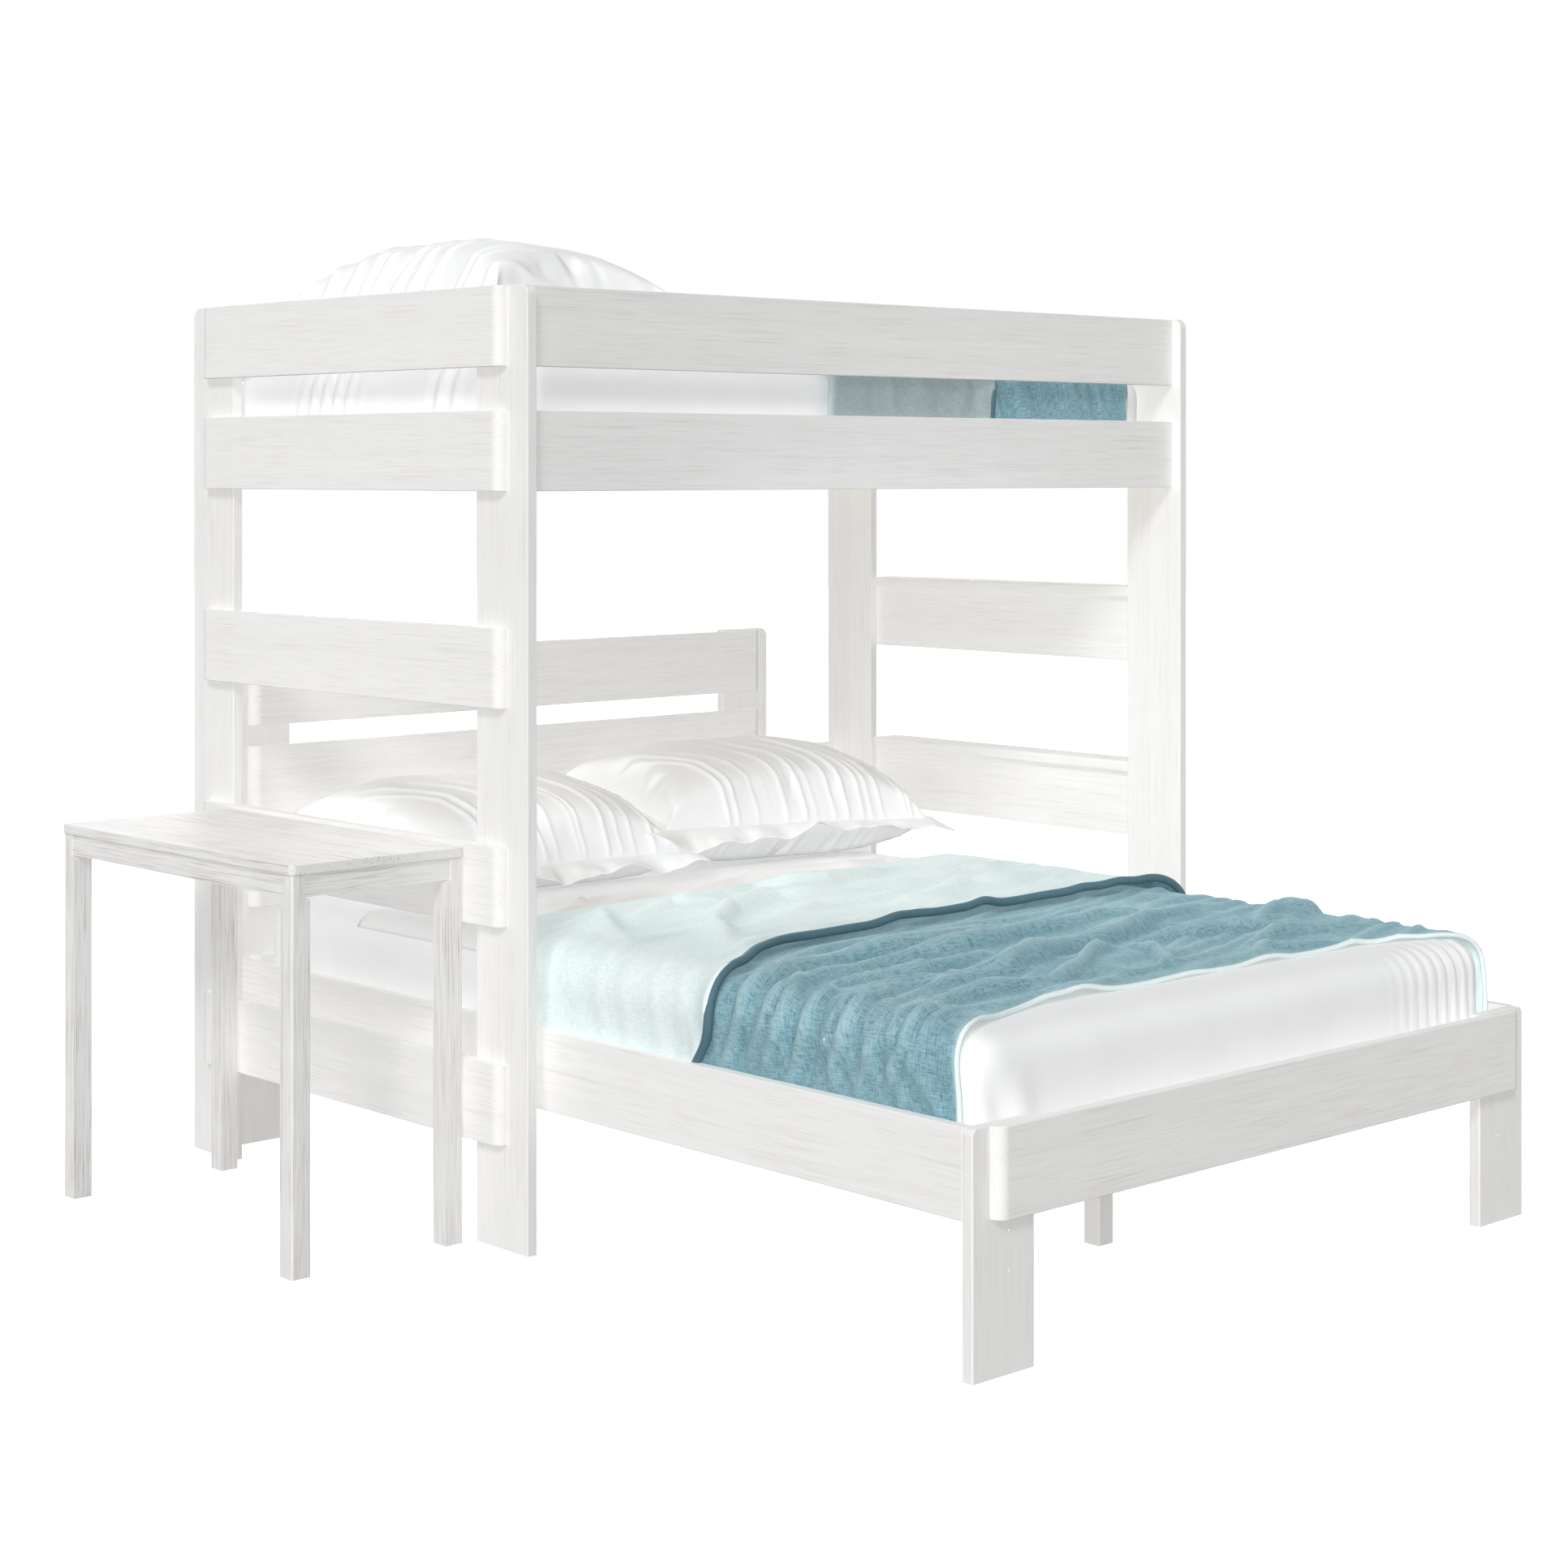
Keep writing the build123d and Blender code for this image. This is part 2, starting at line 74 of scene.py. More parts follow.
# Strengths of the studio: the three suns and the panel, the floor's own glow, and the air.
KEY, FILL, BACK, INNER = 0.95, 2.12, 1.1, 1.1
FLOOR_GLOW, AIR = 0.55, 0.36

# Colours of the wood under its whitewash, and of the grooves in it.
PALE, STREAK = (0.80, 0.795, 0.785), (0.52, 0.48, 0.45)
DESK_PALE, DESK_STREAK = (0.76, 0.755, 0.745), (0.31, 0.26, 0.23)
PINE, PINE_GRAIN = (0.66, 0.52, 0.35), (0.52, 0.38, 0.23)
ZINC_LIGHT, ZINC_DARK = (0.62, 0.62, 0.64), (0.48, 0.49, 0.51)

# Mattresses: how far the cover stays inside the CAD box, and its corners and cells.
SLIM, MATTRESS_CORNER, MATTRESS_CELL = 0.006, 0.075, 0.022


def smooth(x, low, high):
    """0 below low, 1 above high, and a smooth step between them."""
    t = np.clip((np.asarray(x, float) - low) / (high - low), 0.0, 1.0)
    return t * t * (3 - 2 * t)


def fbm(x, y, z, size, seed=0.0):
    """Smooth noise of about -1 to 1 with bumps of that size, at one point."""
    return noise.noise(Vector((x / size + seed, y / size - seed, z / size + 0.5 * seed)))


# ------------------------------------------------------------------ materials

class Nodes:
    """A material's node tree, with short calls for the nodes that are used here."""

    def __init__(self, name, roughness, sheen=0.0, sheen_tint=(1, 1, 1)):
        self.material = bpy.data.materials.new(name)
        self.material.use_nodes = True
        self.tree = self.material.node_tree
        self.shader = self.tree.nodes["Principled BSDF"]
        self.shader.inputs["Roughness"].default_value = roughness
        if sheen:
            self.shader.inputs["Sheen Weight"].default_value = sheen
            self.shader.inputs["Sheen Roughness"].default_value = 0.5
            self.shader.inputs["Sheen Tint"].default_value = (*sheen_tint, 1)

    def add(self, kind, links=(), **values):
        node = self.tree.nodes.new(kind)
        for key, value in values.items():
            if key in node.inputs:
                node.inputs[key].default_value = value
            else:
                setattr(node, key, value)
        for socket, source in links:
            self.tree.links.new(source, node.inputs[socket])
        return node

    def place(self, scale):
        """Object coordinates, scaled by three numbers."""
        return self.stretch(self.add("ShaderNodeTexCoord").outputs["Object"], scale)

    def stretch(self, where, scale):
        mapping = self.add("ShaderNodeMapping", [("Vector", where)])
        mapping.inputs["Scale"].default_value = scale
        return mapping.outputs["Vector"]

    def noise(self, where, scale, detail=3.0, roughness=0.55, distortion=0.0):
        return self.add("ShaderNodeTexNoise", [("Vector", where)], Scale=scale, Detail=detail,
                        Roughness=roughness, Distortion=distortion).outputs["Fac"]

    def ramp(self, value, *stops):
        """Maps a value to grey levels: stops are (place, level)."""
        node = self.add("ShaderNodeValToRGB", [("Fac", value)])
        points = node.color_ramp.elements
        while len(points) < len(stops):
            points.new(0.5)
        for point, (at, level) in zip(points, stops):
            point.position = at
            point.color = (level, level, level, 1)
        return node.outputs["Color"]

    def math(self, operation, a, b):
        node = self.add("ShaderNodeMath", operation=operation)
        for socket, value in zip(node.inputs, (a, b)):
            if isinstance(value, (int, float)):
                socket.default_value = value
            else:
                self.tree.links.new(value, socket)
        return node.outputs[0]

    def mix(self, share, a, b):
        node = self.add("ShaderNodeMix", data_type="RGBA")
        sockets = [s for s in node.inputs if s.type == "RGBA"]
        self.tree.links.new(share, node.inputs[0])
        for socket, value in zip(sockets, (a, b)):
            if isinstance(value, tuple):
                socket.default_value = (*value, 1)
            else:
                self.tree.links.new(value, socket)
        return [s for s in node.outputs if s.type == "RGBA"][0]

    def glow(self, strength):
        self.shader.inputs["Emission Color"].default_value = (1, 1, 1, 1)
        self.shader.inputs["Emission Strength"].default_value = strength

    def finish(self, colour, height=None, depth=0.001, strength=0.5):
        """Sets the colour, and a bump from height if there is one, and gives the material."""
        if isinstance(colour, tuple):
            self.shader.inputs["Base Color"].default_value = (*colour, 1)
        else:
            self.tree.links.new(colour, self.shader.inputs["Base Color"])
        if height is not None:
            bump = self.add("ShaderNodeBump", [("Height", height)],
                            Strength=strength, Distance=depth)
            self.tree.links.new(bump.outputs["Normal"], self.shader.inputs["Normal"])
        return self.material


def grain_scale(along, share):
    """Scales for a pattern that is drawn out along one axis."""
    return tuple(share if axis == along else 1.0 for axis in range(3))


def whitewash(name, along, pale, streak, amount):
    """Wire-brushed wood under thin white paint: fine broken grooves along the grain."""
    n = Nodes(name, 0.6)
    where = n.place(grain_scale(along, 0.016))
    fine = n.ramp(n.noise(where, 560, 2.0, 0.5), (0.36, 1.0), (0.50, 0.0))
    coarse = n.ramp(n.noise(where, 300, 2.0, 0.6), (0.31, 1.0), (0.42, 0.0))
    patches = n.ramp(n.noise(n.place((1, 1, 1)), 7, 2.0), (0.35, 0.35), (0.65, 1.0))
    grooves = n.math("MAXIMUM", n.math("MULTIPLY", fine, 0.55), coarse)
    marks = n.math("MULTIPLY", n.math("MULTIPLY", grooves, patches), amount)
    cloud = n.ramp(n.noise(where, 30, 2.0), (0.3, 0.0), (0.7, 1.0))
    body = n.mix(cloud, pale, tuple(c * 0.965 for c in pale))
    colour = n.mix(marks, body, streak)
    return n.finish(colour, n.math("SUBTRACT", 1.0, grooves), 0.0004, 0.35)


def plain_wood(name, along):
    """Bare planed pine, for the slats and cleats."""
    n = Nodes(name, 0.6)
    where = n.place(grain_scale(along, 0.05))
    grain = n.ramp(n.noise(where, 90, 4.0, 0.6, 0.6), (0.3, 0.0), (0.7, 1.0))
    return n.finish(n.mix(grain, PINE, PINE_GRAIN), grain, 0.0004, 0.4)


def zinc():
    n = Nodes("zinc", 0.38)
    n.shader.inputs["Metallic"].default_value = 1.0
    mottle = n.noise(n.place((1, 1, 1)), 260, 2.0)
    return n.finish(n.mix(mottle, ZINC_LIGHT, ZINC_DARK), mottle, 0.0002, 0.3)


def cotton(name, colour):
    """Smooth white cotton: a very fine weave and a slight unevenness of tone."""
    n = Nodes(name, 0.8, sheen=0.05)
    where = n.place((1, 1, 1))
    weave = n.noise(where, 900, 1.0)
    tone = n.ramp(n.noise(where, 9, 2.0), (0.3, 0.0), (0.7, 1.0))
    colour = n.mix(tone, colour, tuple(c * 0.97 for c in colour))
    return n.finish(colour, weave, 0.0003, 0.25)


def linen(name, mid, dark, pale, sheen=0.15):
    """Two-tone slubbed linen: threads across and along the cloth's own grain, and shading
    painted in by the mesh's bends, darker in the valleys of folds and paler on their crests."""
    n = Nodes(name, 0.85, sheen, (0.58, 0.88, 0.96))
    where = n.add("ShaderNodeUVMap", uv_map="cloth").outputs["UV"]
    warp = n.noise(n.stretch(where, (1, 0.12, 1)), 420, 2.0, 0.6)
    weft = n.noise(n.stretch(where, (0.12, 1, 1)), 420, 2.0, 0.6)
    threads = n.math("ADD", n.math("MULTIPLY", warp, 0.5), n.math("MULTIPLY", weft, 0.5))
    specks = n.ramp(threads, (0.36, 1.0), (0.52, 0.0))
    lights = n.ramp(threads, (0.50, 0.0), (0.66, 1.0))
    faded = n.ramp(n.noise(where, 5, 2.0), (0.3, 0.0), (0.7, 0.35))
    colour = n.mix(faded, mid, pale)
    colour = n.mix(n.math("MULTIPLY", specks, 0.75), colour, dark)
    colour = n.mix(n.math("MULTIPLY", lights, 0.45), colour, pale)
    bend = n.add("ShaderNodeNewGeometry").outputs["Pointiness"]
    valleys = n.ramp(bend, (0.43, 1.0), (0.495, 0.0))
    crests = n.ramp(bend, (0.505, 0.0), (0.57, 1.0))
    colour = n.mix(n.math("MULTIPLY", valleys, 0.5), colour, dark)
    colour = n.mix(n.math("MULTIPLY", crests, 0.55), colour, pale)
    return n.finish(colour, threads, 0.0012, 0.25)


WOODS = {}
for i, axis in enumerate(AXES):
    WOODS["washed_wood", i] = whitewash(f"washed_wood_{axis}", i, PALE, STREAK, 0.38)
    WOODS["desk_wood", i] = whitewash(f"desk_wood_{axis}", i, DESK_PALE, DESK_STREAK, 0.75)
    WOODS["plain_wood", i] = plain_wood(f"plain_wood_{axis}", i)
ZINC = zinc()
SHEET_WHITE = cotton("sheet_white", (0.82, 0.825, 0.83))
SHEET_GREY = cotton("sheet_grey", (0.79, 0.79, 0.79))
PILLOW_WHITE = cotton("pillow_white", (0.82, 0.825, 0.83))
TEAL = linen("teal_linen", (0.170, 0.330, 0.385), (0.045, 0.125, 0.160),
             (0.390, 0.545, 0.585), sheen=0.25)
MINT = linen("mint_linen", (0.645, 0.725, 0.72), (0.55, 0.68, 0.67), (0.82, 0.89, 0.885))
LOFT_MINT = linen("loft_mint_linen", (0.31, 0.375, 0.385), (0.23, 0.30, 0.31), (0.43, 0.49, 0.49))
# The folded part's free edge rolls under in the top's teal. This teal is made far darker than the
# top's, to paint in the shade on the roll under the folded edge.
SHADED_HEM_TEAL = linen("shaded_hem_teal", (0.035, 0.095, 0.125), (0.012, 0.04, 0.055), (0.09, 0.18, 0.215))


def dress_boards():
    """Each CAD node gets its slot's material, with the grain along its boards."""
    slots = {part["node"]: part["material_slot"] for part in frame["record"]["subparts"]}
    # Groups of pieces, whose grain does not run along the group's longest side.
    crosswise = {"loft_slats": 1, "bed_slats": 0, "support_legs": 2,
                 "loft_brackets": 2, "bed_brackets": 2}
    for name, obj in frame["nodes"].items():
        low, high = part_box(name)
        size = high - low
        along = crosswise.get(name, max(range(3), key=lambda i: size[i]))
        slot = slots[name]
        finish = ZINC if slot == "steel" else WOODS.get((slot, along), SHEET_WHITE)
        obj.data.materials.clear()
        obj.data.materials.append(finish)


# ------------------------------------------------------------------ mesh helpers

def add_object(name, mesh, materials):
    obj = bpy.data.objects.new(name, mesh)
    bpy.context.scene.collection.objects.link(obj)
    for material in materials:
        obj.data.materials.append(material)
    for face in mesh.polygons:
        face.use_smooth = True
    return obj


def points_of(obj):
    co = np.empty(len(obj.data.vertices) * 3)
    obj.data.vertices.foreach_get("co", co)
    return co.reshape(-1, 3)


def set_points(obj, co):
    obj.data.vertices.foreach_set("co", np.asarray(co, float).ravel())
    obj.data.update()


def apply_modifiers(obj):
    graph = bpy.context.evaluated_depsgraph_get()
    mesh = bpy.data.meshes.new_from_object(obj.evaluated_get(graph))
    old, obj.data = obj.data, mesh
    obj.modifiers.clear()
    bpy.data.meshes.remove(old)


def subdivide(obj):
    """Splits each face in four, and rounds the mesh."""
    smoother = obj.modifiers.new("smooth", "SUBSURF")
    smoother.levels = smoother.render_levels = 1
    apply_modifiers(obj)


def rounded_block(low, high, corner, edge, step):
    """A closed block in even cells, with round upright corners and round rims."""
    low, high = np.array(low, float), np.array(high, float)
    counts = np.maximum(2, np.round((high - low) / step)).astype(int)
    index, points, faces = {}, [], []

    def vertex(i, j, k):
        key = (i, j, k)
        if key not in index:
            index[key] = len(points)
            points.append(low + (high - low) * np.array(key) / counts)
        return index[key]

    def quad(*corners):
        faces.append([vertex(*corner) for corner in corners])

    nx, ny, nz = counts
    for i in range(nx):
        for j in range(ny):
            quad((i, j, nz), (i + 1, j, nz), (i + 1, j + 1, nz), (i, j + 1, nz))
            quad((i, j, 0), (i, j + 1, 0), (i + 1, j + 1, 0), (i + 1, j, 0))
    for k in range(nz):
        for i in range(nx):
            quad((i, 0, k), (i + 1, 0, k), (i + 1, 0, k + 1), (i, 0, k + 1))
            quad((i, ny, k), (i, ny, k + 1), (i + 1, ny, k + 1), (i + 1, ny, k))
        for j in range(ny):
            quad((0, j, k), (0, j, k + 1), (0, j + 1, k + 1), (0, j + 1, k))
            quad((nx, j, k), (nx, j + 1, k), (nx, j + 1, k + 1), (nx, j, k + 1))

    centre, half = (low + high) / 2, (high - low) / 2
    q = np.array(points) - centre
    inner = np.clip(q[:, :2], -(half[:2] - corner), half[:2] - corner)
    d = q[:, :2] - inner
    length = np.maximum(np.linalg.norm(d, axis=1), 1e-12)
    reach = np.abs(d).max(axis=1)
    out = d / length[:, None]
    inset = corner - reach
    rise = half[2] - np.abs(q[:, 2])
    u, v = np.clip(edge - inset, 0, None), np.clip(edge - rise, 0, None)
    turn = np.maximum(u, v) / np.maximum(np.hypot(u, v), 1e-12)
    u2, v2 = np.where(u > 0, u * turn, 0), np.where(v > 0, v * turn, 0)
    radius = np.where(u > 0, corner - edge + u2, reach)
    z = np.where(v > 0, np.sign(q[:, 2]) * (half[2] - edge + v2), q[:, 2])
    xy = inner + out * radius[:, None]
    mesh = bpy.data.meshes.new("block")
    mesh.from_pydata([tuple(x) for x in np.column_stack([xy, z]) + centre], [], faces)
    return mesh


def relaxed(obj, frames, cap, gravity, **settings):
    """Runs the mesh as cloth, without collisions. Gives where its points were, and how far
    each one moved, which is cut down to cap."""
    scene = bpy.context.scene
    before = points_of(obj)
    cloth = obj.modifiers.new("cloth", "CLOTH")
    for key, value in settings.items():
        setattr(cloth.settings, key, value)
    cloth.settings.effector_weights.gravity = gravity
    cloth.collision_settings.use_collision = False
    cloth.point_cache.frame_end = frames + 2
    for f in range(1, frames + 1):
        scene.frame_set(f)
    apply_modifiers(obj)
    scene.frame_set(1)
    move = points_of(obj) - before
    length = np.linalg.norm(move, axis=1)
    move *= np.minimum(1, cap / np.maximum(length, 1e-9))[:, None]
    return before, move


def inflate(obj, pressure, frames, cap, shrink=0.0, mass=0.3, bending=0.5, tension=15.0):
    """Evens out a closed mesh as cloth under inner pressure, with gravity off."""
    before, move = relaxed(
        obj, frames, cap, 0, quality=6, mass=mass, tension_stiffness=tension,
        compression_stiffness=tension, shear_stiffness=tension / 2, bending_stiffness=bending,
        use_pressure=True, uniform_pressure_force=pressure, shrink_min=shrink)
    set_points(obj, before + move)


# ------------------------------------------------------------------ beds

class Bed:
    """A mattress seen as cross places (0 in the middle, minus on the near side) and lengthwise
    places (towards the head), so that bedding for either bed is made by the same functions."""

    def __init__(self, mattress, body, crosswise, edge):
        self.low, self.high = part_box(mattress)
        self.body, self.crosswise, self.edge = body, crosswise, edge
        self.top = self.high.z
        self.half = (self.high[crosswise] - self.low[crosswise]) / 2
        self.mid = (self.high[crosswise] + self.low[crosswise]) / 2

    def point(self, cross, along, z):
        if self.crosswise == 0:
            return Vector((self.mid + cross, along, z))
        return Vector((-along, self.mid + cross, z))

    def over(self, a, along, gap, drop_gap, lift=0.0):
        """The point of a cloth over the bed, where a is the way across, round the bed's edge.
        gap is the cloth's distance from the top, and drop_gap that from the sides."""
        flat = self.half - self.edge
        s = abs(a) - flat
        if s <= 0:
            return self.point(a, along, self.top + gap + lift)
        side = -1 if a < 0 else 1
        quarter = self.edge * math.pi / 2
        angle = min(1.0, s / quarter) * math.pi / 2
        share = smooth(s, 0, quarter * 1.6)
        out = gap + (drop_gap - gap) * float(share) + lift
        r = self.edge + out
        down = max(0.0, s - quarter)
        cross = side * (flat + r * math.sin(angle))
        z = self.top - self.edge + r * math.cos(angle) - down
        return self.point(cross, along, z)


BED = Bed("bed_mattress", "bed_mattress", 0, 0.055)
LOFT = Bed("loft_mattress", "loft_mattress", 1, 0.045)
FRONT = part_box("loft_post_front_left")[0].y        # the loft's front edge
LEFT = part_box("loft_post_front_left")[0].x         # the loft's left side


def waver(px, py, seed, reach=0.014, size=0.13):
    """Places moved a little by smooth noise, so that lines drawn over them waver."""
    wx, wy = np.empty(px.shape), np.empty(px.shape)
    for at in np.ndindex(px.shape):
        x, y = px[at], py[at]
        wx[at] = x + reach * fbm(x, y, 0.3, size, seed)
        wy[at] = y + reach * fbm(x, y, 7.7, size, seed)
    return wx, wy


def ridge(px, py, line, height, width):
    """How far a crease along a line of points lifts the cloth at places px, py."""
    best = np.full(px.shape, 1e9)
    along = np.zeros(px.shape)
    total = sum(math.dist(a, b) for a, b in zip(line, line[1:]))
    done = 0.0
    for (x0, y0), (x1, y1) in zip(line, line[1:]):
        dx, dy = x1 - x0, y1 - y0
        length = math.hypot(dx, dy)
        t = np.clip(((px - x0) * dx + (py - y0) * dy) / length**2, 0, 1)
        d = np.hypot(px - x0 - t * dx, py - y0 - t * dy)
        nearer = d < best
        best = np.where(nearer, d, best)
        along = np.where(nearer, (done + t * length) / total, along)
        done += length
    ends = np.sin(np.pi * np.clip(along, 0.02, 0.98)) ** 0.6
    return height * ends / (1 + (best / width) ** 2) ** 1.6


def mattress(node, bed, creases):
    """A mattress in its fitted sheet: a rounded block, evened out as cloth, then creased."""
    low = bed.low + Vector((SLIM, SLIM, 0.002))
    high = bed.high - Vector((SLIM, SLIM, SLIM))
    mesh = rounded_block(low, high, MATTRESS_CORNER, bed.edge, MATTRESS_CELL)
    obj = add_object(node + "_cover", mesh, [SHEET_WHITE])
    inflate(obj, 3.0, 12, SLIM)
    co = points_of(obj)
    co[:, 2] = np.maximum(co[:, 2], bed.low.z + 0.001)
    set_points(obj, co)
    subdivide(obj)
    co = points_of(obj)
    normals = np.array([v.normal for v in obj.data.vertices])
    move = creases(co)
    set_points(obj, co + normals * move[:, None])
    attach(obj, bed.body)
    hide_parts(node)


def bed_creases(co):
    """Fine pleats where the fitted sheet is pulled round the foot corners, and soft waves."""
    x, y, z = co.T
    move = np.zeros(len(co))
    foot = BED.low.y
    face = smooth(foot + 0.10 - y, 0, 0.06) * smooth(z, BED.low.z + 0.02, BED.low.z + 0.12)
    right = BED.high.x
    spacing, height = 0.034, 0.004
    phase = 2 * math.pi * (x - right) / spacing + 9 * (z - BED.low.z)
    window = smooth(x, right - 0.42, right - 0.12) * smooth(right - x, 0.0, 0.05)
    move += height * np.sin(phase) * face * window
    near = np.hypot(x - BED.low.x - 0.05, y - foot - 0.05)
    tuck = np.exp(-((near / 0.10) ** 2)) * smooth(BED.high.z - 0.05 - z, 0, 0.08)
    move += 0.008 * tuck * np.sin(55 * (x - y) + 20 * z)
    for i, (px, py, pz) in enumerate(co):
        move[i] += 0.0022 * fbm(px, py, pz * 2, 0.22, 3.0)
    return move


def loft_creases(co):
    """Upright pleats in the head end's face, seen through the gap between the end rails."""
    x, y, z = co.T
    move = np.zeros(len(co))
    face = smooth(LOFT.low.x + 0.06 - x, 0, 0.04)
    for at, wide, count in ((0.66, 0.10, 5), (0.28, 0.05, 2)):
        place = (y - FRONT - at + 0.25 * (z - LOFT.high.z)) / wide
        window = np.exp(-(place**2) * 1.2)
        move += 0.007 * face * window * np.sin(math.pi * count * place)
    for i, (px, py, pz) in enumerate(co):
        move[i] += 0.0022 * fbm(px, py, pz * 2, 0.2, 8.0)
    return move


# ------------------------------------------------------------------ bedding sheets

def cloth_mesh(name, columns, rows, place, size):
    """A grid of cloth. place(i, j) gives each point, and size is its flat width and length."""
    points = [place(i, j) for j in range(rows + 1) for i in range(columns + 1)]
    faces = []
    for j in range(rows):
        for i in range(columns):
            a = j * (columns + 1) + i
            faces.append((a, a + 1, a + columns + 2, a + columns + 1))
    mesh = bpy.data.meshes.new(name)
    mesh.from_pydata([tuple(p) for p in points], [], faces)
    layer = mesh.uv_layers.new(name="cloth")
    for loop in mesh.loops:
        j, i = divmod(loop.vertex_index, columns + 1)
        layer.data[loop.index].uv = (i / columns * size[0], j / rows * size[1])
    return mesh


def settle(obj, outward, frames, cap, sink, growth=0.0):
    """Lets the creased cloth buckle and relax under its own weight, each point within cap of its
    place, and no further than sink towards what it lies on."""
    before, move = relaxed(
        obj, frames, cap, 0.2, quality=5, mass=0.25, tension_stiffness=18,
        compression_stiffness=18, shear_stiffness=6, bending_stiffness=0.15, shrink_min=-growth)
    inward = np.minimum(0, (move * outward).sum(axis=1) + sink)
    set_points(obj, before + move - outward * inward[:, None])


def thicken(obj, thickness):
    """Gives the cloth its thickness: the first material outside, the second inside."""
    solid = obj.modifiers.new("solid", "SOLIDIFY")
    solid.thickness = thickness
    solid.offset = 0
    solid.material_offset = 1
    solid.material_offset_rim = 1
    apply_modifiers(obj)


def even(edge, rounds=8):
    """A cloth's edge as a row of points, with its small kinks smoothed out."""
    edge = np.array(edge, float)
    for _ in range(rounds):
        edge[1:-1] = (edge[:-2] + 2 * edge[1:-1] + edge[2:]) / 4
    return [Vector(p) for p in edge]


def hem_along(name, path, radius, material, body):
    """A rolled hem: a soft tube of uneven thickness along a row of points. Its sides are
    turned as little as possible from point to point, so that it does not twist."""
    sides = 8
    points, faces = [], []
    n = (path[1] - path[0]).orthogonal()
    for i, p in enumerate(path):
        ahead = path[min(i + 1, len(path) - 1)] - path[max(i - 1, 0)]
        t = ahead.normalized()
        n = (n - t * n.dot(t)).normalized()
        b = t.cross(n)
        r = radius * (1 + 0.12 * fbm(p.x, p.y, p.z, 0.12, 4.0))
        if i in (0, len(path) - 1):
            r *= 0.5
        for k in range(sides):
            angle = 2 * math.pi * k / sides
            points.append(p + n * (r * math.cos(angle)) + b * (r * math.sin(angle)))
    for i in range(len(path) - 1):
        for k in range(sides):
            a, c = i * sides + k, i * sides + (k + 1) % sides
            faces.append((a, c, c + sides, a + sides))
    faces.append(tuple(reversed(range(sides))))
    faces.append(tuple(range((len(path) - 1) * sides, len(path) * sides)))
    mesh = bpy.data.meshes.new(name)
    mesh.from_pydata([tuple(p) for p in points], [], faces)
    layer = mesh.uv_layers.new(name="cloth")
    for loop in mesh.loops:
        i, k = divmod(loop.vertex_index, sides)
        layer.data[loop.index].uv = (i * 0.012, k * 0.005)
    obj = add_object(name, mesh, [material])
    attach(obj, body)
    return obj


